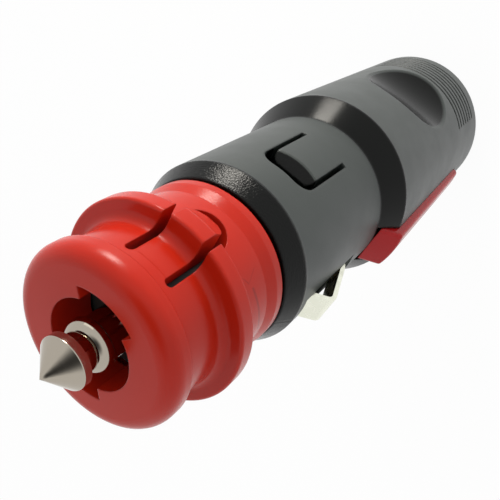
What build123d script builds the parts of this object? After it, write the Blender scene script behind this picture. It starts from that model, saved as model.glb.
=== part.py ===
from build123d import *
import os
from math import cos, radians, sin, sqrt

# Universal lighter plug: two black half shells, a red twist-off adapter, a sprung
# centre contact over a glass fuse, a side spring and a rocker switch.
# Millimetres. The plug stands on its rear end: origin at the centre of the rear face,
# +Z along the axis to the tip. The halves part on the XZ plane, and the rocker faces -X.

os.makedirs("parts", exist_ok=True)

# Housing, from the rear end up
body_length = 79.5
handle_front_radius = 12.25
handle_rear_radius = 11.95
handle_length = 37.4
rear_round = 1.2
step_length = 3.5
barrel_radius = 10.3
barrel_length = 21.9
ring_radius = 9.2
ring_chamfer = 2.1
nose_radius = 5.9
nose_front_gap = 0.3
nose_chamfer = 0.6

# Cavities and walls of the housing
barrel_wall = 1.7
handle_wall = 2.6
end_wall = 1.8
rear_wall = 4.0
cavity_step = 38.0
inlet_radius = 3.0
inlet_mouth = 0.6
fuse_channel_radius = 3.3
nose_front_wall = 2.0
web_thickness = 1.5
front_web_z = 56.0
middle_web_z = 48.0
rear_web_z = 42.4

# Spring fingers moulded in the barrel
finger_width = 5.2
finger_root_z = 46.5
finger_end_z = 53.9
finger_gap = 0.6
finger_front_gap = 2.4
finger_corner = 1.9
finger_end_round = 0.8
finger_bevel = 1.2

# Thumb scoops and grip grooves on the handle
scoop_z = 19.5
scoop_half_length = 7.3
scoop_depth = 1.95
groove_count = 7
groove_first_z = 3.3
groove_pitch = 1.3
groove_width = 0.5
groove_depth = 0.25
groove_half_angle = 44.0

# Red adapter
adapter_length = 16.4
adapter_gap = 0.3
adapter_bore_clearance = 0.15
nose_flange_radius = 8.85
nose_flange_length = 2.6
nose_flange_round = 1.55
nose_flange_back_round = 0.3
waist_radius = 8.3
waist_end = 6.35
waist_root_round = 0.2
socket_flange_radius = 10.35
socket_flange_front = 7.3
socket_flange_rear = 9.2
socket_flange_round = 0.3
tail_radius = 8.75
tail_end = 13.9
rim_radius = 9.13
rim_length = 1.2
rim_round = 0.3
front_wall = 4.6
opening_radius = 5.6
opening_lobe_radius = 4.4
opening_half_angle = 33.0
catch_half_width = 1.75
catch_gap = 0.85
catch_root = 3.9
catch_end = 11.85
catch_inner_radius = 6.9
catch_front = 7.4
catch_radius = 10.4
catch_end_radius = 8.9

# Bayonet between nose and adapter
twist_deg = 30.0
lug_radius = 6.75
lug_z = 64.3
lug_thickness = 1.4
lug_half_angle = 12.0
lug_clearance = 0.2
lug_clearance_deg = 1.5

# Centre contact and fuse
tip_height = 5.05
cone_height = 2.25
cone_radius = 2.5
land_length = 0.75
neck_radius = 1.85
neck_length = 1.2
collar_radius = 2.54
collar_length = 1.4
collar_dome = 1.0
collar_back_round = 0.2
cone_edge_round = 0.12
shaft_radius = 2.2
running_clearance = 0.08
tip_flange_radius = 3.0
tip_flange_length = 1.4
fuse_length = 20.0
fuse_radius = 2.6
fuse_cap_length = 4.8
fuse_cap_wall = 0.3
fuse_glass_wall = 0.5
fuse_fit = 0.02
fuse_wire_radius = 0.15
tip_spring_radius = 2.1
tip_spring_wire = 0.3
tip_spring_turns = 5

# Sheet metal parts
sheet = 0.5
spring_sheet = 0.4
ground_spring_sheet = 0.5
fuse_plate_width = 6.0
strip_width = 2.0
ground_leg_x = 6.4
ground_leg_width = 3.4
ground_lead_y = 2.4
ground_lead_width = 1.6
ground_ring_radius = 8.3
ground_spring_width = 3.6
ground_slot_clearance = 0.3
ground_slot_low_z = 47.4
ground_slot_high_z = 59.2
ground_bow = [(-8.05, 44.0), (-8.05, 48.0), (-10.1, 49.8), (-12.0, 55.9), (-9.3, 58.0)]
ground_bow_radii = [1.0, 2.0, 0.9]
nose_contact_x = 5.65
nose_contact_width = 3.0
nose_contact_end = 1.8
nose_contact_bend = 0.6
groove_clearance = 0.15

# Rocker switch
rocker_width = 5.7
rocker_front_z = 40.6
rocker_bevel = 2.4
rocker_rear_z = 11.0
rocker_front_proud = 0.95
rocker_rear_proud = 0.8
rocker_depth = 1.8
rocker_edge_round = 0.5
rocker_clearance = 0.2
rocker_press_room = 1.7
pivot_drop = 0.4
pivot_z = 26.0
pivot_radius = 0.9
pivot_length = 8.8
pivot_boss_radius = 2.1
plunger_radius = 0.9
plunger_tip_gap = 0.3
plunger_hold = 0.9
plunger_guide_length = 3.3
plunger_guide_half = 1.5
plunger_spring_length = 1.2
plunger_spring_wire = 0.12
plunger_spring_turns = 4
blade_top_x = 4.6
blade_length = 12.0
blade_width = 3.0
blade_tilt_deg = 4.0
blade_gap = 0.05
strip_x = 3.05
strip_end_z = 24.5
fulcrum_half = 1.0
fulcrum_back = 0.25
contact_front_z = 22.2
contact_bead_z = 20.7
contact_bead_radius = 0.7

# Wire clamps and screws
clamp_size = 5.0
clamp_depth = 6.0
clamp_length = 7.5
clamp_rear_z = 11.0
clamp_inset = 4.85
wire_hole_radius = 1.3
clamp_screw_radius = 1.25
clamp_screw_length = 1.9
clamp_round = 0.4
screw_radius = 1.2
screw_clearance = 0.05
screw_head_radius = 2.4
screw_head_length = 1.8
screw_length = 13.0
screw_boss_radius = 2.6
screw_seat_y = 6.6
rear_screw_inset = 3.05
ledge_inset = 1.35

# Stations along the axis
adapter_front = body_length
adapter_rear = body_length - adapter_length
shoulder_z = adapter_rear - adapter_gap
step_z = shoulder_z - barrel_length
nose_front = adapter_front - front_wall - nose_front_gap
barrel_cavity_radius = barrel_radius - barrel_wall
handle_cavity_radius = handle_rear_radius - handle_wall
barrel_cavity_top = shoulder_z - end_wall
channel_front = nose_front - nose_front_wall
fuse_front = channel_front - tip_flange_length
fuse_rear = fuse_front - fuse_length
fuse_plate_rear = rear_web_z + web_thickness
fuse_plate_front = fuse_plate_rear + sheet
adapter_bore = nose_radius + adapter_bore_clearance
minus_clamp_x = handle_cavity_radius - clamp_inset
ground_lead_x = minus_clamp_x + clamp_size / 2
screw_places = [(3.4, 33.5), (rear_screw_inset - handle_cavity_radius, 7.4)]
rocker_front_radius = handle_front_radius + rocker_front_proud
rocker_rear_radius = handle_rear_radius + rocker_rear_proud
rocker_under_x = (handle_front_radius + handle_rear_radius) / 2 - rocker_depth
pocket_under_x = rocker_under_x - rocker_press_room
pivot_x = rocker_under_x - pivot_drop
plunger_guide_x = pivot_x - plunger_guide_length
plunger_base_x = plunger_guide_x + plunger_hold
plunger_tip_x = blade_top_x + plunger_tip_gap
plunger_spring_x = plunger_base_x + plunger_spring_length
handle_slope = (handle_front_radius - handle_rear_radius) / (handle_length - rear_round)


def handle_radius(z):
    """Outer radius of the tapered handle at height z."""
    return handle_rear_radius + handle_slope * (z - rear_round)


def down(distance):
    """Height of a point the given distance behind the adapter's front face."""
    return adapter_front - distance


def round_corner(sketch, point, radius):
    """Round the corner of a sketch that lies nearest to the point."""
    fillet(sketch.vertices().sort_by_distance(point)[0], radius)


def sector(radius, centre_deg, half_deg):
    """Pie-shaped face about the axis, added to the open sketch."""
    first = centre_deg - half_deg
    arc = Edge.make_circle(radius, start_angle=first, end_angle=first + 2 * half_deg)
    make_face([arc, Edge.make_line((0, 0, 0), arc @ 0), Edge.make_line(arc @ 1, (0, 0, 0))])


def bent_strip(points, radius, width, thickness):
    """Sheet strip bent along a path in the XZ plane."""
    with BuildPart() as strip:
        with BuildLine(Plane.XZ):
            path = FilletPolyline(*points, radius=radius)
        with BuildSketch(Plane(path @ 0, x_dir=(0, 1, 0), z_dir=path % 0)):
            Rectangle(width, thickness)
        sweep(path=path)
    return strip.part


def coil(radius, wire, turns, low, high):
    """Open compression spring between two heights on the axis."""
    height = high - low - 2 * wire
    with BuildPart() as spring:
        with BuildLine():
            path = Helix(height / turns, height, radius, center=(0, 0, low + wire))
        with BuildSketch(Plane(path @ 0, z_dir=path % 0)):
            Circle(wire)
        sweep(path=path, is_frenet=True)
    return spring.part


# Both half shells are one turned form until they are parted
with BuildPart() as shell:
    with BuildSketch(Plane.XZ) as outline:
        with BuildLine():
            Polyline(
                (0, 0),
                (handle_radius(0), 0),
                (handle_front_radius, handle_length),
                (barrel_radius, handle_length + step_length),
                (barrel_radius, shoulder_z - ring_chamfer),
                (ring_radius, shoulder_z),
                (nose_radius, shoulder_z),
                (nose_radius, nose_front - nose_chamfer),
                (nose_radius - nose_chamfer, nose_front),
                (0, nose_front),
                close=True,
            )
        make_face()
        round_corner(outline, (handle_radius(0), 0), rear_round)
    revolve(axis=Axis.Z)

    # Grip grooves and thumb scoops, front and back
    for i in range(groove_count):
        groove_z = groove_first_z + groove_pitch * i
        with BuildSketch(Plane.XY.offset(groove_z)):
            for centre in (90, 270):
                sector(handle_radius(groove_z) + 1, centre, groove_half_angle)
            Circle(handle_radius(groove_z) - groove_depth, mode=Mode.SUBTRACT)
        extrude(amount=groove_width, mode=Mode.SUBTRACT)
    scoop_floor = handle_radius(scoop_z) - scoop_depth
    scoop_radius = (scoop_half_length**2 + scoop_depth**2) / (2 * scoop_depth)
    with BuildSketch(Plane.YZ):
        with Locations(
            (scoop_floor + scoop_radius, scoop_z), (-scoop_floor - scoop_radius, scoop_z)
        ):
            Circle(scoop_radius)
    extrude(amount=handle_front_radius, both=True, mode=Mode.SUBTRACT)

    # Cavity: handle, barrel, fuse channel, pin hole and cable inlet
    with BuildSketch(Plane.XZ):
        with BuildLine():
            Polyline(
                (0, 0),
                (inlet_radius + inlet_mouth, 0),
                (inlet_radius, inlet_mouth),
                (inlet_radius, rear_wall),
                (handle_cavity_radius, rear_wall),
                (handle_cavity_radius, cavity_step),
                (barrel_cavity_radius, cavity_step),
                (barrel_cavity_radius, barrel_cavity_top),
                (fuse_channel_radius, barrel_cavity_top),
                (fuse_channel_radius, channel_front),
                (shaft_radius + running_clearance, channel_front),
                (shaft_radius + running_clearance, nose_front),
                (0, nose_front),
                close=True,
            )
        make_face()
    revolve(axis=Axis.Z, mode=Mode.SUBTRACT)

    # U-shaped slots that free the two spring fingers, whose ends are bevelled
    slot_half = finger_width / 2 + finger_gap
    slot_front_z = finger_end_z + finger_front_gap
    with BuildSketch(Plane.XZ) as finger_slot:
        with BuildLine():
            Polyline(
                (-slot_half, finger_root_z),
                (-slot_half, slot_front_z),
                (slot_half, slot_front_z),
                (slot_half, finger_root_z),
                close=True,
            )
        make_face()
        for side in (-1, 1):
            round_corner(finger_slot, (side * slot_half, slot_front_z), finger_corner)
        with Locations((0, (finger_root_z + finger_end_z) / 2 - 1)):
            Rectangle(finger_width, finger_end_z - finger_root_z + 2, mode=Mode.SUBTRACT)
        for side in (-1, 1):
            round_corner(finger_slot, (side * finger_width / 2, finger_end_z), finger_end_round)
    extrude(amount=barrel_radius + 1, both=True, mode=Mode.SUBTRACT)
    for side in (-1, 1):
        with BuildSketch(Plane.YZ):
            with BuildLine():
                Polyline(
                    (side * (barrel_radius - finger_bevel), finger_end_z),
                    (side * (barrel_radius + 0.5), finger_end_z),
                    (side * (barrel_radius + 0.5), finger_end_z - finger_bevel - 0.5),
                    close=True,
                )
            make_face()
        extrude(amount=finger_width / 2, both=True, mode=Mode.SUBTRACT)

    # Cross webs: two cradle the fuse and spring, the rear one carries the fuse contact
    notch_x = ground_leg_x - ground_slot_clearance
    for web_z, hole in ((front_web_z, True), (middle_web_z, True), (rear_web_z, False)):
        with BuildSketch(Plane.XY.offset(web_z)):
            Circle(barrel_cavity_radius + 0.1)
            if hole:
                Circle(fuse_channel_radius, mode=Mode.SUBTRACT)
                with Locations((-notch_x - 2, 0)):
                    Rectangle(4, ground_spring_width + 2 * ground_slot_clearance, mode=Mode.SUBTRACT)
                for side in (-1, 1):
                    with Locations((0, side * (barrel_cavity_radius + 0.3))):
                        Rectangle(2 * slot_half + 0.2, 3, mode=Mode.SUBTRACT)
            else:
                with Locations((-strip_x, 0)):
                    Rectangle(sheet + 0.3, strip_width + 0.3, mode=Mode.SUBTRACT)
            lead_y = ground_lead_y + ground_lead_width / 2
            with Locations((ground_lead_x + 1.5, lead_y)):
                Rectangle(3.4, ground_lead_width + 0.4, mode=Mode.SUBTRACT)
        extrude(amount=web_thickness)

    # Bayonet lugs on the nose
    for centre in (90, 270):
        with BuildSketch(Plane.XY.offset(lug_z)):
            sector(lug_radius, centre, lug_half_angle)
            Circle(nose_radius - 0.5, mode=Mode.SUBTRACT)
        extrude(amount=lug_thickness)

    # Flank grooves for the nose contacts, and the window of the side spring
    groove_floor = nose_contact_x - spring_sheet / 2 - groove_clearance
    groove_high = nose_front - nose_contact_end + groove_clearance
    for side in (-1, 1):
        with BuildSketch(Plane.XZ):
            with BuildLine():
                Polyline(
                    (side * groove_floor, shoulder_z),
                    (side * (nose_radius + 1), shoulder_z),
                    (side * (nose_radius + 1), groove_high),
                    (side * (groove_floor - nose_contact_bend), groove_high),
                    (side * groove_floor, groove_high - 1.6 * nose_contact_bend),
                    close=True,
                )
            make_face()
            with Locations((side * nose_contact_x, shoulder_z - end_wall / 2)):
                Rectangle(spring_sheet + 2 * groove_clearance, end_wall + 0.4)
        extrude(amount=nose_contact_width / 2 + groove_clearance, both=True, mode=Mode.SUBTRACT)
    with BuildSketch(Plane.XZ):
        with Locations((-barrel_radius, (ground_slot_low_z + ground_slot_high_z) / 2)):
            Rectangle(2 * barrel_wall + 0.4, ground_slot_high_z - ground_slot_low_z)
    extrude(amount=ground_spring_width / 2 + ground_slot_clearance, both=True, mode=Mode.SUBTRACT)

    # Ledges inside the handle: pivot bosses, strip guides and clamp seats
    half_rocker = rocker_width / 2 + rocker_clearance
    ledges = [
        (-pivot_x - 0.6, pivot_z, 4.6, 5.4, half_rocker),
        (-strip_x, 36.0, 2.4, 2.0, strip_width / 2 + 0.05),
        (
            (minus_clamp_x - strip_x) / 2,
            clamp_rear_z + clamp_length / 2,
            minus_clamp_x + strip_x + clamp_size,
            clamp_length - 1.5,
            clamp_depth / 2 + 0.05,
        ),
    ]
    for ledge_x, ledge_z, ledge_width, ledge_length, ledge_y in ledges:
        ledge_edge = min(abs(ledge_x) + 0.5, handle_cavity_radius - ledge_inset)
        reach = sqrt(handle_cavity_radius**2 - ledge_edge**2) + 0.8
        reach = max(reach, ledge_y + 2.4)
        with BuildSketch(Plane.XY.offset(ledge_z - ledge_length / 2)):
            for side in (-1, 1):
                with Locations((ledge_x, side * (ledge_y + reach) / 2)):
                    Rectangle(ledge_width, reach - ledge_y)
            Circle(handle_cavity_radius + 0.5, mode=Mode.INTERSECT)
        extrude(amount=ledge_length)

    # Rocker pocket, open at the step, and the pivot holes
    with BuildSketch(Plane.XZ):
        with BuildLine():
            Polyline(
                (-pocket_under_x, rocker_rear_z - rocker_clearance),
                (-handle_front_radius - 2, rocker_rear_z - rocker_clearance),
                (-handle_front_radius - 2, rocker_front_z + rocker_clearance),
                (-pocket_under_x, rocker_front_z + rocker_clearance),
                close=True,
            )
        make_face()
    extrude(amount=half_rocker, both=True, mode=Mode.SUBTRACT)
    with BuildSketch(Plane.XZ):
        with Locations((-pivot_x, pivot_z)):
            Circle(pivot_radius + screw_clearance)
    extrude(amount=pivot_length / 2 + 0.1, both=True, mode=Mode.SUBTRACT)

# Front half: spring finger and scoop seen from the front, blind screw bosses
with BuildPart() as housing_front:
    add(shell.part)
    split(bisect_by=Plane.XZ, keep=Keep.TOP)
    for screw_x, screw_z in screw_places:
        boss_depth = sqrt(handle_cavity_radius**2 - screw_x**2) + 0.6
        with BuildSketch(Plane.XZ):
            with Locations((screw_x, screw_z)):
                Circle(screw_boss_radius)
        extrude(amount=boss_depth)
        with BuildSketch(Plane.XZ):
            with Locations((screw_x, screw_z)):
                Circle(screw_radius + screw_clearance)
        extrude(amount=screw_length - screw_seat_y + 0.3, mode=Mode.SUBTRACT)
housing_front.part.label = "housing_front"
export_step(housing_front.part, "parts/housing_front.step")

# Back half: the screws go in here, under counterbored seats
with BuildPart() as housing_back:
    add(shell.part)
    split(bisect_by=Plane.XZ, keep=Keep.BOTTOM)
    for screw_x, screw_z in screw_places:
        with BuildSketch(Plane.XZ):
            with Locations((screw_x, screw_z)):
                Circle(screw_boss_radius + 0.6)
        extrude(amount=-(sqrt(handle_radius(screw_z) ** 2 - screw_x**2) - 1.2))
        with BuildSketch(Plane.XZ):
            with Locations((screw_x, screw_z)):
                Circle(screw_radius + screw_clearance)
        extrude(amount=-handle_front_radius, mode=Mode.SUBTRACT)
        with BuildSketch(Plane.XZ.offset(-screw_seat_y)):
            with Locations((screw_x, screw_z)):
                Circle(screw_head_radius + screw_clearance)
        extrude(amount=-handle_front_radius, mode=Mode.SUBTRACT)
housing_back.part.label = "housing_back"
export_step(housing_back.part, "parts/housing_back.step")

# Two self-tapping screws with cross slots
with BuildPart() as housing_screws:
    for screw_x, screw_z in screw_places:
        with BuildSketch(Plane.XZ.offset(-screw_seat_y)):
            with Locations((screw_x, screw_z)):
                Circle(screw_radius)
        extrude(amount=screw_length)
        with BuildSketch(Plane.XZ.offset(-screw_seat_y)):
            with Locations((screw_x, screw_z)):
                Circle(screw_head_radius)
        extrude(amount=-screw_head_length)
        with BuildSketch(Plane.XZ.offset(-screw_seat_y - screw_head_length)):
            with Locations((screw_x, screw_z)):
                Rectangle(2.6, 0.6)
                Rectangle(0.6, 2.6)
        extrude(amount=0.8, mode=Mode.SUBTRACT)
    heads = housing_screws.edges().filter_by(GeomType.CIRCLE).group_by(Axis.Y)[-1]
    fillet(heads.filter_by(lambda e: e.radius > screw_head_radius - 0.1), 0.5)
housing_screws.part.label = "housing_screws"
export_step(housing_screws.part, "parts/housing_screws.step")

# Spring catches of the adapter: a step up in line with the flange, then a slope down to
# the round free end
with BuildPart() as catches:
    with BuildSketch(Plane.XZ) as ramp:
        with BuildLine():
            Polyline(
                (catch_inner_radius, down(catch_root - 0.6)),
                (waist_radius - 0.05, down(catch_root - 0.6)),
                (waist_radius - 0.05, down(catch_front)),
                (catch_radius, down(catch_front)),
                (catch_radius, down(socket_flange_rear)),
                (catch_end_radius, down(catch_end)),
                (catch_inner_radius, down(catch_end)),
                close=True,
            )
        make_face()
        round_corner(ramp, (waist_radius, down(catch_front)), socket_flange_front - waist_end)
        round_corner(ramp, (catch_radius, down(catch_front)), socket_flange_round)
        round_corner(ramp, (catch_radius, down(socket_flange_rear)), 2 * socket_flange_round)
        round_corner(ramp, (catch_end_radius, down(catch_end)), socket_flange_round)
    revolve(axis=Axis.Z)
    with BuildSketch(Plane.XZ):
        catch_length = catch_end - catch_half_width - catch_root + 0.6
        with Locations((0, down(catch_root - 0.6) - catch_length / 2)):
            Rectangle(2 * catch_half_width, catch_length)
        with Locations((0, down(catch_end - catch_half_width))):
            Circle(catch_half_width)
    extrude(amount=catch_radius + 1, both=True, mode=Mode.INTERSECT)

# Slots that free the catches, down to the bore
with BuildPart() as catch_slots:
    with BuildSketch(Plane.XZ):
        outer_half = catch_half_width + catch_gap
        slot_end = catch_end + catch_gap
        slot_length = slot_end - outer_half - catch_root
        with Locations((0, down(catch_root) - slot_length / 2)):
            Rectangle(2 * outer_half, slot_length)
        with Locations((0, down(slot_end - outer_half))):
            Circle(outer_half)
        leg_x = catch_half_width + catch_gap / 2
        with Locations((-leg_x, down(catch_root)), (leg_x, down(catch_root))):
            Circle(catch_gap / 2)
    extrude(amount=socket_flange_radius + 1, both=True)
    with BuildSketch(Plane.XY.offset(adapter_rear)):
        Circle(adapter_bore)
    extrude(amount=adapter_length, mode=Mode.SUBTRACT)

# Red adapter: a spool with two flanges, a shaped front opening and two catches
with BuildPart() as adapter:
    with BuildSketch(Plane.XZ) as spool:
        with BuildLine():
            flare_root = socket_flange_front - waist_end
            Polyline(
                (waist_radius, down(waist_end)),
                (waist_radius, down(nose_flange_length)),
                (nose_flange_radius, down(nose_flange_length)),
                (nose_flange_radius, adapter_front),
                (0, adapter_front),
                (0, down(front_wall)),
                (adapter_bore, down(front_wall)),
                (adapter_bore, adapter_rear),
                (rim_radius, adapter_rear),
                (rim_radius, adapter_rear + rim_length),
                (tail_radius, down(tail_end)),
                (tail_radius, down(socket_flange_rear)),
                (socket_flange_radius, down(socket_flange_rear)),
                (socket_flange_radius, down(socket_flange_front)),
                (waist_radius + flare_root, down(socket_flange_front)),
            )
            TangentArc(
                (waist_radius, down(waist_end)),
                (waist_radius + flare_root, down(socket_flange_front)),
                tangent=(0, -1),
            )
        make_face()
        round_corner(spool, (rim_radius, adapter_rear), rim_round)
        round_corner(spool, (tail_radius, down(socket_flange_rear)), rim_round)
        round_corner(spool, (socket_flange_radius, down(socket_flange_rear)), socket_flange_round)
        round_corner(spool, (socket_flange_radius, down(socket_flange_front)), socket_flange_round)
        round_corner(spool, (waist_radius, down(nose_flange_length)), waist_root_round)
        round_corner(spool, (nose_flange_radius, down(nose_flange_length)), nose_flange_back_round)
        round_corner(spool, (nose_flange_radius, adapter_front), nose_flange_round)
    revolve(axis=Axis.Z)

    # Front opening: a round hole with two wider sectors in line with the catches
    with BuildSketch(Plane.XY.offset(down(front_wall))):
        Circle(opening_lobe_radius)
        for centre in (90, 270):
            sector(opening_radius, centre, opening_half_angle)
    extrude(amount=front_wall, mode=Mode.SUBTRACT)

    add(catch_slots.part, mode=Mode.SUBTRACT)
    add(catches.part)

    # Bayonet grooves: a ring groove over the twist and an entry from the rear
    turn_half = lug_half_angle + lug_clearance_deg
    groove_low = lug_z - lug_clearance
    groove_top = lug_z + lug_thickness + lug_clearance
    for centre in (90, 270):
        with BuildSketch(Plane.XY.offset(groove_low)):
            sector(lug_radius + lug_clearance, centre - twist_deg / 2, turn_half + twist_deg / 2)
        extrude(amount=groove_top - groove_low, mode=Mode.SUBTRACT)
        with BuildSketch(Plane.XY.offset(adapter_rear)):
            sector(lug_radius + lug_clearance, centre - twist_deg, turn_half)
        extrude(amount=groove_top - adapter_rear, mode=Mode.SUBTRACT)
adapter.part.label = "adapter"
export_step(adapter.part, "parts/adapter.step")

# Centre contact: cone, land, neck, domed collar, shaft and inner flange in one turned pin
with BuildPart() as tip_pin:
    apex = adapter_front + tip_height
    cone_base = apex - cone_height
    neck_front = cone_base - land_length
    collar_front = neck_front - neck_length
    collar_rear = collar_front - collar_length
    with BuildSketch(Plane.XZ) as pin_profile:
        with BuildLine():
            Polyline(
                (0, apex),
                (cone_radius, cone_base),
                (cone_radius, neck_front),
                (neck_radius, neck_front),
                (neck_radius, collar_front),
            )
            TangentArc(
                (collar_radius, collar_front - collar_dome),
                (neck_radius, collar_front),
                tangent=(0, 1),
            )
            Polyline(
                (collar_radius, collar_front - collar_dome),
                (collar_radius, collar_rear),
                (shaft_radius, collar_rear),
                (shaft_radius, channel_front),
                (tip_flange_radius, channel_front),
                (tip_flange_radius, fuse_front),
                (0, fuse_front),
                (0, apex),
            )
        make_face()
        round_corner(pin_profile, (cone_radius, cone_base), cone_edge_round)
        round_corner(pin_profile, (collar_radius, collar_rear), collar_back_round)
        round_corner(pin_profile, (neck_radius, neck_front), collar_back_round)
    revolve(axis=Axis.Z)
tip_pin.part.label = "tip_pin"
export_step(tip_pin.part, "parts/tip_pin.step")

# Glass fuse: tube, two pressed caps and the wire between them
glass_radius = fuse_radius - fuse_cap_wall - fuse_fit
with BuildPart() as fuse_glass:
    with BuildSketch(Plane.XY.offset(fuse_rear + fuse_cap_wall)):
        Circle(glass_radius)
        Circle(glass_radius - fuse_glass_wall, mode=Mode.SUBTRACT)
    extrude(amount=fuse_length - 2 * fuse_cap_wall)
fuse_glass.part.label = "fuse_glass"
export_step(fuse_glass.part, "parts/fuse_glass.step")

for name, end_z, inward in (("fuse_cap_front", fuse_front, -1), ("fuse_cap_rear", fuse_rear, 1)):
    with BuildPart() as fuse_cap:
        with BuildSketch(Plane.XZ) as cap_profile:
            with BuildLine():
                Polyline(
                    (0, end_z),
                    (fuse_radius, end_z),
                    (fuse_radius, end_z + inward * fuse_cap_length),
                    (fuse_radius - fuse_cap_wall, end_z + inward * fuse_cap_length),
                    (fuse_radius - fuse_cap_wall, end_z + inward * fuse_cap_wall),
                    (0, end_z + inward * fuse_cap_wall),
                    close=True,
                )
            make_face()
            round_corner(cap_profile, (fuse_radius, end_z), fuse_cap_wall - 0.05)
        revolve(axis=Axis.Z)
    fuse_cap.part.label = name
    export_step(fuse_cap.part, "parts/" + name + ".step")

with BuildPart() as fuse_wire:
    with BuildSketch(Plane.XY.offset(fuse_rear + fuse_cap_wall)):
        Circle(fuse_wire_radius)
    extrude(amount=fuse_length - 2 * fuse_cap_wall)
fuse_wire.part.label = "fuse_wire"
export_step(fuse_wire.part, "parts/fuse_wire.step")

tip_spring = coil(tip_spring_radius, tip_spring_wire, tip_spring_turns, fuse_plate_front, fuse_rear)
tip_spring.label = "tip_spring"
export_step(tip_spring, "parts/tip_spring.step")

# Fuse contact: plate behind the spring, leg through the rear web, fulcrum for the blade
blade_under_x = blade_top_x - sheet
fulcrum_z = pivot_z - fulcrum_back
with BuildPart() as fuse_contact:
    add(
        bent_strip(
            [
                (fuse_plate_width / 2, fuse_plate_rear + sheet / 2),
                (-strip_x, fuse_plate_rear + sheet / 2),
                (-strip_x, strip_end_z),
            ],
            sheet / 2 + 0.1,
            strip_width,
            sheet,
        )
    )
    with BuildSketch(Plane.XY.offset(fuse_plate_rear)):
        Circle(fuse_plate_width / 2 - 0.2)
    extrude(amount=sheet)
    with BuildSketch(Plane.XZ):
        with BuildLine():
            Polyline(
                (-strip_x, fulcrum_z - fulcrum_half),
                (-strip_x, fulcrum_z + fulcrum_half),
                (blade_gap - blade_under_x, fulcrum_z),
                close=True,
            )
        make_face()
    extrude(amount=strip_width / 2, both=True)
fuse_contact.part.label = "fuse_contact"
export_step(fuse_contact.part, "parts/fuse_contact.step")

# Fixed switch contact with a domed bead, its tail held in the plus clamp
bead_lift = (fulcrum_z - contact_bead_z) * sin(radians(blade_tilt_deg))
bead_top_x = blade_under_x - bead_lift - blade_gap
with BuildPart() as switch_contact:
    with BuildSketch(Plane.XY.offset(clamp_rear_z + 2)):
        with Locations((-strip_x, 0)):
            Rectangle(sheet, strip_width)
    extrude(amount=contact_front_z - clamp_rear_z - 2)
    with BuildSketch(Plane.YZ.offset(-strip_x)):
        with Locations((0, contact_bead_z)):
            Circle(contact_bead_radius)
    extrude(amount=-(bead_top_x - strip_x))
    bead_edges = switch_contact.edges().filter_by(GeomType.CIRCLE).group_by(Axis.X)[0]
    fillet(bead_edges, 0.12)
switch_contact.part.label = "switch_contact"
export_step(switch_contact.part, "parts/switch_contact.step")

# See-saw blade, tipped onto its front end at rest
with BuildPart() as switch_blade:
    tilt = radians(blade_tilt_deg)
    blade_face = Plane((-blade_under_x, 0, fulcrum_z), x_dir=(0, 1, 0), z_dir=(-cos(tilt), 0, sin(tilt)))
    with BuildSketch(blade_face):
        RectangleRounded(blade_width, blade_length, 0.5)
    extrude(amount=sheet)
switch_blade.part.label = "switch_blade"
export_step(switch_blade.part, "parts/switch_blade.step")

# Red rocker: follows the handle, stands a little proud, slopes down at its front end
with BuildPart() as rocker:
    with BuildSketch(Plane.XZ):
        with BuildLine():
            Polyline(
                (0, rocker_rear_z),
                (rocker_rear_radius, rocker_rear_z),
                (rocker_front_radius, rocker_front_z - rocker_bevel),
                (rocker_under_x, rocker_front_z),
                (0, rocker_front_z),
                close=True,
            )
        make_face()
    revolve(axis=Axis.Z)
    with BuildSketch(Plane.XZ):
        with BuildLine():
            Polyline(
                (-rocker_under_x, rocker_rear_z - 1),
                (-handle_front_radius - 2, rocker_rear_z - 1),
                (-handle_front_radius - 2, rocker_front_z + 1),
                (-rocker_under_x, rocker_front_z + 1),
                close=True,
            )
        make_face()
        with Locations((-pivot_x - 1, pivot_z)):
            Rectangle(2, 2 * pivot_boss_radius)
        with Locations((-(pivot_x + plunger_guide_x) / 2, pivot_z)):
            Rectangle(pivot_x - plunger_guide_x, 2 * plunger_guide_half)
        with Locations((-pivot_x, pivot_z)):
            Circle(pivot_boss_radius)
    extrude(amount=rocker_width / 2, both=True, mode=Mode.INTERSECT)
    rims = rocker.edges().filter_by(lambda e: e.center().X < -rocker_under_x - 1.2)
    fillet(rims, rocker_edge_round)
    with BuildSketch(Plane.XZ):
        with Locations((-pivot_x, pivot_z)):
            Circle(pivot_radius + running_clearance)
    extrude(amount=rocker_width, both=True, mode=Mode.SUBTRACT)
    with BuildSketch(Plane.YZ.offset(-plunger_guide_x)):
        with Locations((0, pivot_z)):
            Circle(plunger_radius + running_clearance)
    extrude(amount=-(plunger_spring_x - plunger_guide_x), mode=Mode.SUBTRACT)
rocker.part.label = "rocker"
export_step(rocker.part, "parts/rocker.step")

with BuildPart() as rocker_pin:
    with BuildSketch(Plane.XZ):
        with Locations((-pivot_x, pivot_z)):
            Circle(pivot_radius)
    extrude(amount=pivot_length / 2, both=True)
    chamfer(rocker_pin.edges().filter_by(GeomType.CIRCLE), 0.2)
rocker_pin.part.label = "rocker_pin"
export_step(rocker_pin.part, "parts/rocker_pin.step")

# Plunger and its spring, in a bore of the rocker
with BuildPart() as plunger:
    with BuildSketch(Plane.YZ.offset(-plunger_base_x)):
        with Locations((0, pivot_z)):
            Circle(plunger_radius)
    extrude(amount=plunger_base_x - plunger_tip_x)
    fillet(plunger.edges().group_by(Axis.X)[-1], plunger_radius - 0.1)
plunger.part.label = "plunger"
export_step(plunger.part, "parts/plunger.step")

plunger_coil_radius = plunger_radius - 2 * plunger_spring_wire
plunger_spring = coil(
    plunger_coil_radius, plunger_spring_wire, plunger_spring_turns, 0, plunger_spring_length
)
plunger_spring = Location((-plunger_base_x, 0, pivot_z), (0, -90, 0)) * plunger_spring
plunger_spring.label = "plunger_spring"
export_step(plunger_spring, "parts/plunger_spring.step")

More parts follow.
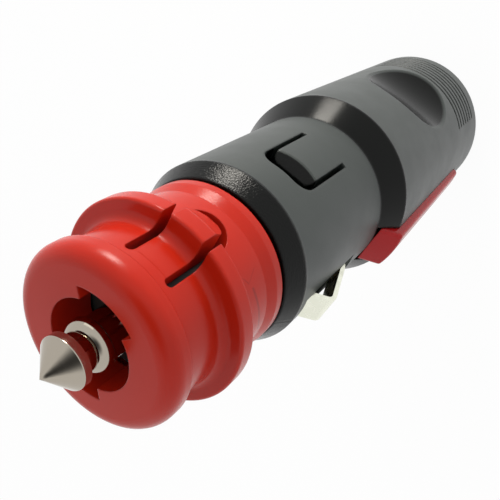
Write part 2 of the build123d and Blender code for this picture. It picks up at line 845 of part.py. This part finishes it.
# Earth plate: ring against the barrel's end wall, a leg under the side spring and one
# long lead to the minus clamp
ring_z = barrel_cavity_top - sheet
with BuildPart() as ground_bridge:
    with BuildSketch(Plane.XY.offset(ring_z)):
        Circle(ground_ring_radius)
        Circle(fuse_channel_radius + ground_slot_clearance, mode=Mode.SUBTRACT)
    extrude(amount=sheet)
    with BuildSketch(Plane.XY.offset(fuse_plate_rear)):
        with Locations((-ground_leg_x - sheet / 2, 0)):
            Rectangle(sheet, ground_leg_width)
    extrude(amount=ring_z - fuse_plate_rear)
    with BuildSketch(Plane.XY.offset(clamp_rear_z + clamp_length / 2)):
        with Locations((ground_lead_x + sheet / 2, ground_lead_y + ground_lead_width / 2)):
            Rectangle(sheet, ground_lead_width)
    extrude(amount=ring_z - clamp_rear_z - clamp_length / 2)
ground_bridge.part.label = "ground_bridge"
export_step(ground_bridge.part, "parts/ground_bridge.step")

# Side spring: bows out of the barrel's window, rooted at the rear
ground_spring = bent_strip(ground_bow, ground_bow_radii, ground_spring_width, ground_spring_sheet)
ground_spring.label = "ground_spring"
export_step(ground_spring, "parts/ground_spring.step")

# Flat contacts in the flanks of the nose, for the small socket
for name, side in (("nose_contact_right", 1), ("nose_contact_left", -1)):
    contact_high = nose_front - nose_contact_end - 1.6 * nose_contact_bend
    route = [
        (side * nose_contact_x, barrel_cavity_top),
        (side * nose_contact_x, contact_high),
        (side * (nose_contact_x - 0.8 * nose_contact_bend), contact_high + 1.3 * nose_contact_bend),
    ]
    nose_contact = bent_strip(route, spring_sheet, nose_contact_width, spring_sheet)
    nose_contact.label = name
    export_step(nose_contact, "parts/" + name + ".step")

# Wire clamps: brass blocks with a wire hole and a grub screw each
clamp_z = clamp_rear_z + clamp_length / 2
for name, clamp_x in (("plus_clamp", -strip_x), ("minus_clamp", minus_clamp_x)):
    with BuildPart() as clamp:
        with BuildSketch(Plane.XY.offset(clamp_rear_z)):
            with Locations((clamp_x, 0)):
                Rectangle(clamp_size, clamp_depth)
        extrude(amount=clamp_length)
        fillet(clamp.edges().filter_by(Axis.Z), clamp_round)
        with BuildSketch(Plane.XY.offset(clamp_rear_z)):
            with Locations((clamp_x, 0)):
                Circle(wire_hole_radius)
        extrude(amount=clamp_length, mode=Mode.SUBTRACT)
        with BuildSketch(Plane.XZ):
            with Locations((clamp_x, clamp_z)):
                Circle(clamp_screw_radius + screw_clearance)
        extrude(amount=-clamp_depth, mode=Mode.SUBTRACT)
    clamp.part.label = name
    export_step(clamp.part, "parts/" + name + ".step")

with BuildPart() as clamp_screws:
    for clamp_x in (-strip_x, minus_clamp_x):
        with BuildSketch(Plane.XZ.offset(-clamp_depth / 2)):
            with Locations((clamp_x, clamp_z)):
                Circle(clamp_screw_radius)
        extrude(amount=clamp_screw_length)
        with BuildSketch(Plane.XZ.offset(-clamp_depth / 2)):
            with Locations((clamp_x, clamp_z)):
                Rectangle(2 * clamp_screw_radius + 1, 0.5)
        extrude(amount=0.6, mode=Mode.SUBTRACT)
clamp_screws.part.label = "clamp_screws"
export_step(clamp_screws.part, "parts/clamp_screws.step")
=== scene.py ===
import math

import bmesh
import bpy
from mathutils import Matrix, Vector

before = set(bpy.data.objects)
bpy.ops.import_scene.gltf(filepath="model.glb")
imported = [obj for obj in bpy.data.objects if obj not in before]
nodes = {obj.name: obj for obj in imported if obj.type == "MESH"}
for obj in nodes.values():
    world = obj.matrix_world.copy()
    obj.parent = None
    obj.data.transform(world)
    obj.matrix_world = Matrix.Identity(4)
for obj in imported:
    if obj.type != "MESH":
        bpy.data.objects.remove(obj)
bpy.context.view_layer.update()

# Camera, fitted to the photograph in the part's frame
CAMERA_AT = Vector((-0.01376, -0.04148, 0.10612))
CAMERA_RIGHT = Vector((-0.7368, -0.4122, -0.5359))
CAMERA_UP = Vector((0.6474, -0.6587, -0.3834))
CAMERA_BACK = Vector((-0.1950, -0.6294, 0.7522))
CAMERA_LENS = 42.84
CAMERA_SHIFT = (0.0068, -0.0086)

# Finishes of the black moulding: lowest z, highest z and softness of the limit, in metres
RING = (0.0605, 0.0632, 0.0002)
STEP = (0.0371, 0.0411, 0.0003)
FINGER_END = (0.0526, 0.0541, 0.0001)
SCOOPS = (0.0115, 0.0275, 0.0002)
# The finger's end and the scoops are sunk, so they lie within a radius that fades out here
FINGER_FADE = (0.01012, 0.01022)
SCOOP_FADE = (0.01175, 0.012)

# Mould lines on the adapter's tail, painted as thin lines of shade: (z, degrees) of both ends,
# width
MOULD_LINES = [
    ((0.0676, -46.0), (0.0663, -82.0), 0.0003),
    ((0.0685, -37.5), (0.0680, -42.4), 0.00012),
    ((0.0680, -42.4), (0.0666, -36.3), 0.00012),
]
MOULD_LINE_FADE = (0.0690, 0.0691)
# Share of painted shade in the mould lines
MOULD_LINE_SHADE = 0.4

# Stage and lamps
FLOOR_DROP = 0.0002
FLOOR_HALF = 1.5
FLOOR_WHITE = 0.95
LAMP_COLOR = (1.0, 0.96, 0.88)
LAMP_AIM = Vector((0, 0, 0.045))
GAP_TOWARDS = Vector((-0.28, -0.28, 0.92))

RANGE_SOCKETS = ("From Min", "From Max", "To Min", "To Max")


def add_camera():
    data = bpy.data.cameras.new("photo_camera")
    camera = bpy.data.objects.new("photo_camera", data)
    bpy.context.scene.collection.objects.link(camera)
    turn = Matrix((CAMERA_RIGHT, CAMERA_UP, CAMERA_BACK)).transposed()
    camera.matrix_world = Matrix.Translation(CAMERA_AT) @ turn.to_4x4()
    data.sensor_width = 36.0
    data.lens = CAMERA_LENS
    data.shift_x, data.shift_y = CAMERA_SHIFT
    data.clip_start = 0.002
    data.clip_end = 20.0
    bpy.context.scene.camera = camera


class Shader:
    """Node material with one Principled shader and a few helpers."""

    def __init__(self, name, color, roughness, metallic=0.0):
        self.material = bpy.data.materials.new(name)
        self.material.use_nodes = True
        self.tree = self.material.node_tree
        self.tree.nodes.clear()
        self.output = self.tree.nodes.new("ShaderNodeOutputMaterial")
        self.bsdf = self.tree.nodes.new("ShaderNodeBsdfPrincipled")
        self.tree.links.new(self.bsdf.outputs[0], self.output.inputs[0])
        self.set("Base Color", (*color, 1))
        self.set("Roughness", roughness)
        self.set("Metallic", metallic)
        self.coords = self.tree.nodes.new("ShaderNodeTexCoord").outputs["Object"]
        self.normal = None

    def set(self, socket, value):
        self.bsdf.inputs[socket].default_value = value

    def drive(self, socket, output):
        """Feeds one of the shader's sockets from a node."""
        self.link(output, self.bsdf.inputs[socket])

    def node(self, kind, **settings):
        made = self.tree.nodes.new(kind)
        for key, value in settings.items():
            setattr(made, key, value)
        return made

    def link(self, output, target):
        self.tree.links.new(output, target)

    def place(self):
        """X, Y and Z of the shaded point in the part's frame."""
        split = self.node("ShaderNodeSeparateXYZ")
        self.link(self.coords, split.inputs[0])
        return split.outputs

    def radius(self):
        """Distance of the shaded point from the plug's axis."""
        flat = self.node("ShaderNodeVectorMath", operation="MULTIPLY")
        self.link(self.coords, flat.inputs[0])
        flat.inputs[1].default_value = (1, 1, 0)
        length = self.node("ShaderNodeVectorMath", operation="LENGTH")
        self.link(flat.outputs[0], length.inputs[0])
        return length.outputs["Value"]

    def noise(self, scale, detail=3.0, rough=0.5, stretch=None):
        """Noise at so many features per metre; stretch scales the axes first."""
        source = self.coords
        if stretch:
            mapping = self.node("ShaderNodeMapping")
            mapping.inputs["Scale"].default_value = stretch
            self.link(source, mapping.inputs["Vector"])
            source = mapping.outputs[0]
        made = self.node("ShaderNodeTexNoise")
        self.link(source, made.inputs["Vector"])
        made.inputs["Scale"].default_value = scale
        made.inputs["Detail"].default_value = detail
        made.inputs["Roughness"].default_value = rough
        return made.outputs["Fac"]

    def ramp(self, source, low, high, start=0.35, end=0.65):
        """Maps start to end of a value onto low to high."""
        made = self.node("ShaderNodeMapRange")
        self.link(source, made.inputs["Value"])
        for key, value in zip(RANGE_SOCKETS, (start, end, low, high)):
            made.inputs[key].default_value = value
        return made.outputs[0]

    def colours(self, source, stops):
        made = self.node("ShaderNodeValToRGB")
        for element, (place, color) in zip(made.color_ramp.elements, stops):
            element.position = place
            element.color = (*color, 1)
        self.link(source, made.inputs[0])
        return made.outputs[0]

    def math(self, operation, first, second, clamp=True):
        """Result of two values, each an output or a number."""
        made = self.node("ShaderNodeMath", operation=operation, use_clamp=clamp)
        for value, socket in zip((first, second), made.inputs):
            if isinstance(value, (int, float)):
                socket.default_value = value
            else:
                self.link(value, socket)
        return made.outputs[0]

    def band(self, source, low, high, soft):
        """One between two limits, zero outside."""
        rise = self.ramp(source, 0.0, 1.0, low - soft, low + soft)
        fall = self.ramp(source, 1.0, 0.0, high - soft, high + soft)
        return self.math("MULTIPLY", rise, fall)

    def mix(self, share, first, color):
        made = self.node("ShaderNodeMix", data_type="RGBA")
        self.link(share, made.inputs["Factor"])
        self.link(first, made.inputs["A"])
        made.inputs["B"].default_value = (*color, 1)
        return made.outputs["Result"]

    def blend(self, share, first, value):
        made = self.node("ShaderNodeMix", data_type="FLOAT")
        self.link(share, made.inputs["Factor"])
        self.link(first, made.inputs["A"])
        made.inputs["B"].default_value = value
        return made.outputs["Result"]

    def soften(self, radius):
        """Rounds hard edges in the shading; bumps are added on top."""
        made = self.node("ShaderNodeBevel", samples=4)
        made.inputs["Radius"].default_value = radius
        self.normal = made.outputs[0]

    def bump(self, source, distance, strength=1.0):
        """Adds a relief so many metres high on top of what is there."""
        made = self.node("ShaderNodeBump")
        made.inputs["Strength"].default_value = strength
        made.inputs["Distance"].default_value = distance
        self.link(source, made.inputs["Height"])
        if self.normal:
            self.link(self.normal, made.inputs["Normal"])
        self.normal = made.outputs[0]
        self.drive("Normal", self.normal)


def paint(material, *names):
    """Gives CAD nodes a material."""
    for name in names:
        for slot in nodes[name].material_slots:
            slot.material = material


def black_plastic():
    """Satin moulding; ring and finger end are sandy, and with the step darker; the scoops are
    painted darker as shade.
    """
    s = Shader("black_moulding", (0.03, 0.032, 0.032), 0.42)
    height = s.place()["Z"]
    radius = s.radius()
    ring = s.band(height, *RING)
    step = s.band(height, *STEP)
    finger = s.math("MULTIPLY", s.band(height, *FINGER_END), s.ramp(radius, 1.0, 0.0, *FINGER_FADE))
    # The scoops' mask also carries painted shade: their base colour is darkened where they lie in
    # shadow
    scoops = s.math("MULTIPLY", s.band(height, *SCOOPS), s.ramp(radius, 1.0, 0.0, *SCOOP_FADE))
    sandy = s.math("ADD", ring, finger)
    dark = s.math("ADD", s.math("ADD", sandy, step), scoops)

    stops = [(0.3, (0.028, 0.035, 0.032)), (0.7, (0.034, 0.041, 0.038))]
    cloud = s.colours(s.noise(60, 3, 0.5), stops)
    # Darker colour on ring, step and finger end, and painted shade in the scoops
    s.drive("Base Color", s.mix(dark, cloud, (0.0012, 0.0016, 0.0012)))
    satin = s.ramp(s.noise(240, 4, 0.5), 0.39, 0.45)
    s.drive("Roughness", s.blend(sandy, s.blend(dark, satin, 0.2), 0.17))
    shine = s.ramp(dark, 0.5, 0.16, 0.0, 1.0)
    s.drive("Specular IOR Level", s.blend(sandy, shine, 0.21))
    s.soften(0.0004)
    s.bump(s.noise(4200, 2, 0.6), 0.00003, 0.2)
    s.bump(s.math("MULTIPLY", s.noise(6500, 1.5, 0.5), sandy), 0.000042)
    return s.material


def mould_line(s, low, high, width):
    """One along a fine straight line between two (z, degrees) points, zero elsewhere."""
    x, y, z = s.place()
    angle = s.math("ARCTAN2", x, s.math("MULTIPLY", y, -1.0, clamp=False), clamp=False)
    low_angle, high_angle = math.radians(low[1]), math.radians(high[1])
    slope = (high[0] - low[0]) / (high_angle - low_angle)
    along = s.math("SUBTRACT", angle, low_angle, clamp=False)
    rise = s.math("MULTIPLY", along, slope, clamp=False)
    off = s.math("SUBTRACT", s.math("SUBTRACT", z, rise, clamp=False), low[0], clamp=False)
    line = s.band(off, -width / 2, width / 2, width / 4)
    ends = s.band(angle, *sorted((low_angle, high_angle)), 0.01)
    line = s.math("MULTIPLY", line, ends)
    return s.math("MULTIPLY", line, s.ramp(z, 1.0, 0.0, *MOULD_LINE_FADE))


def red_plastic(name, color, lines=()):
    """Glossy red moulding, with fine mould lines painted in as dark shade where they are given."""
    s = Shader(name, color, 0.32)
    darker = tuple(0.9 * c for c in color)
    # Painted shade colour for the fine recessed mould lines
    groove_shade = tuple(0.25 * c for c in color)
    shade = s.colours(s.noise(70, 2, 0.5), [(0.3, darker), (0.7, color)])
    for low, high, width in lines:
        share = s.math("MULTIPLY", mould_line(s, low, high, width), MOULD_LINE_SHADE)
        shade = s.mix(share, shade, groove_shade)
    s.drive("Base Color", shade)
    s.drive("Roughness", s.ramp(s.noise(260, 3, 0.5), 0.2, 0.27))
    s.set("Specular IOR Level", 0.22)
    s.soften(0.0002)
    s.bump(s.noise(3000, 2, 0.5), 0.00001, 0.15)
    s.set("Subsurface Weight", 0.1)
    s.set("Subsurface Radius", (0.003, 0.0008, 0.0005))
    return s.material


def metal(name, color, roughness, stretch=(1, 1, 1)):
    """Bare or plated metal; stretch draws its fine marks out along the axes."""
    s = Shader(name, color, roughness, 1.0)
    marks = s.noise(900, 3, 0.6, stretch)
    s.drive("Roughness", s.ramp(marks, 0.7 * roughness, 1.5 * roughness))
    s.bump(s.noise(1500, 2, 0.5, stretch), 0.00001, 0.05)
    return s.material


def glass():
    s = Shader("clear_tube", (0.93, 0.96, 0.96), 0.04)
    s.set("Transmission Weight", 1.0)
    s.set("IOR", 1.5)
    return s.material


def white_to_camera(tree, shader, share):
    """Share of white that camera, gloss and glass see instead of the shader."""
    path = tree.nodes.new("ShaderNodeLightPath")
    seen = path.outputs["Is Camera Ray"]
    for name in ("Is Glossy Ray", "Is Transmission Ray"):
        either = tree.nodes.new("ShaderNodeMath")
        either.operation = "MAXIMUM"
        tree.links.new(seen, either.inputs[0])
        tree.links.new(path.outputs[name], either.inputs[1])
        seen = either.outputs[0]
    part = tree.nodes.new("ShaderNodeMath")
    part.operation = "MULTIPLY"
    part.inputs[1].default_value = share
    tree.links.new(seen, part.inputs[0])
    white = tree.nodes.new("ShaderNodeEmission")
    mix = tree.nodes.new("ShaderNodeMixShader")
    tree.links.new(part.outputs[0], mix.inputs[0])
    tree.links.new(shader, mix.inputs[1])
    tree.links.new(white.outputs[0], mix.inputs[2])
    return mix.outputs[0]


def add_stage():
    """White floor that keeps a soft shadow."""
    s = Shader("pale_floor", (0.9, 0.9, 0.9), 0.7)
    s.drive("Roughness", s.ramp(s.noise(3, 2, 0.5), 0.66, 0.74))
    s.link(white_to_camera(s.tree, s.bsdf.outputs[0], FLOOR_WHITE), s.output.inputs[0])
    mesh = bpy.data.meshes.new("floor")
    work = bmesh.new()
    bmesh.ops.create_grid(work, x_segments=2, y_segments=2, size=FLOOR_HALF)
    work.to_mesh(mesh)
    work.free()
    floor = bpy.data.objects.new("floor", mesh)
    bpy.context.scene.collection.objects.link(floor)
    floor.location.z = -FLOOR_DROP
    mesh.materials.append(s.material)


def add_light(name, direction, distance, size, power):
    """Soft rectangular lamp aimed at the middle of the part."""
    data = bpy.data.lights.new(name, "AREA")
    data.shape = "RECTANGLE"
    data.size, data.size_y = size
    data.energy = power
    data.color = LAMP_COLOR
    lamp = bpy.data.objects.new(name, data)
    bpy.context.scene.collection.objects.link(lamp)
    lamp.location = LAMP_AIM + direction.normalized() * distance
    lamp.rotation_euler = direction.to_track_quat("Z", "Y").to_euler()
    lamp.visible_camera = False


def add_world():
    """Pale tent with a dark gap where the photographer stands; the camera sees it white."""
    world = bpy.data.worlds.new("pale_studio")
    bpy.context.scene.world = world
    world.use_nodes = True
    tree = world.node_tree
    coords = tree.nodes.new("ShaderNodeTexCoord")
    dot = tree.nodes.new("ShaderNodeVectorMath")
    dot.operation = "DOT_PRODUCT"
    dot.inputs[1].default_value = GAP_TOWARDS.normalized()
    tree.links.new(coords.outputs["Generated"], dot.inputs[0])
    fade = tree.nodes.new("ShaderNodeMapRange")
    fade.interpolation_type = "SMOOTHSTEP"
    for key, value in zip(RANGE_SOCKETS, (0.78, 1.02, 0.9, 0.05)):
        fade.inputs[key].default_value = value
    tree.links.new(dot.outputs["Value"], fade.inputs["Value"])
    path = tree.nodes.new("ShaderNodeLightPath")
    shown = tree.nodes.new("ShaderNodeMath")
    shown.operation = "MAXIMUM"
    tree.links.new(fade.outputs[0], shown.inputs[0])
    tree.links.new(path.outputs["Is Camera Ray"], shown.inputs[1])
    background = tree.nodes["Background"]
    background.inputs["Color"].default_value = (1, 1, 1, 1)
    tree.links.new(shown.outputs[0], background.inputs["Strength"])


add_camera()
add_stage()
add_world()
add_light("window", Vector((0.65, -0.75, -0.06)), 0.15, (0.045, 0.06), 0.19)
add_light("key", Vector((0.65, -0.75, 0.12)), 0.4, (0.3, 0.16), 0.1)

paint(black_plastic(), "housing_front", "housing_back")
paint(red_plastic("red_moulding", (0.46, 0.016, 0.005), MOULD_LINES), "adapter")
paint(red_plastic("red_rocker", (0.42, 0.01, 0.012)), "rocker")
paint(metal("turned_nickel", (0.44, 0.395, 0.33), 0.09, (1, 1, 6)),
      "tip_pin", "fuse_cap_front", "fuse_cap_rear", "fuse_wire")
paint(metal("sprung_nickel", (0.88, 0.89, 0.76), 0.28), "ground_spring")
paint(metal("flat_nickel", (0.7, 0.68, 0.64), 0.25), "nose_contact_left", "nose_contact_right")
paint(metal("coil_steel", (0.55, 0.55, 0.55), 0.3), "tip_spring", "plunger_spring")
paint(metal("bare_brass", (0.7, 0.5, 0.22), 0.3),
      "ground_bridge", "fuse_contact", "switch_contact", "switch_blade", "plunger",
      "plus_clamp", "minus_clamp")
paint(metal("zinc_steel", (0.6, 0.6, 0.6), 0.28), "housing_screws", "clamp_screws", "rocker_pin")
paint(glass(), "fuse_glass")

bpy.context.scene.view_settings.view_transform = "Standard"
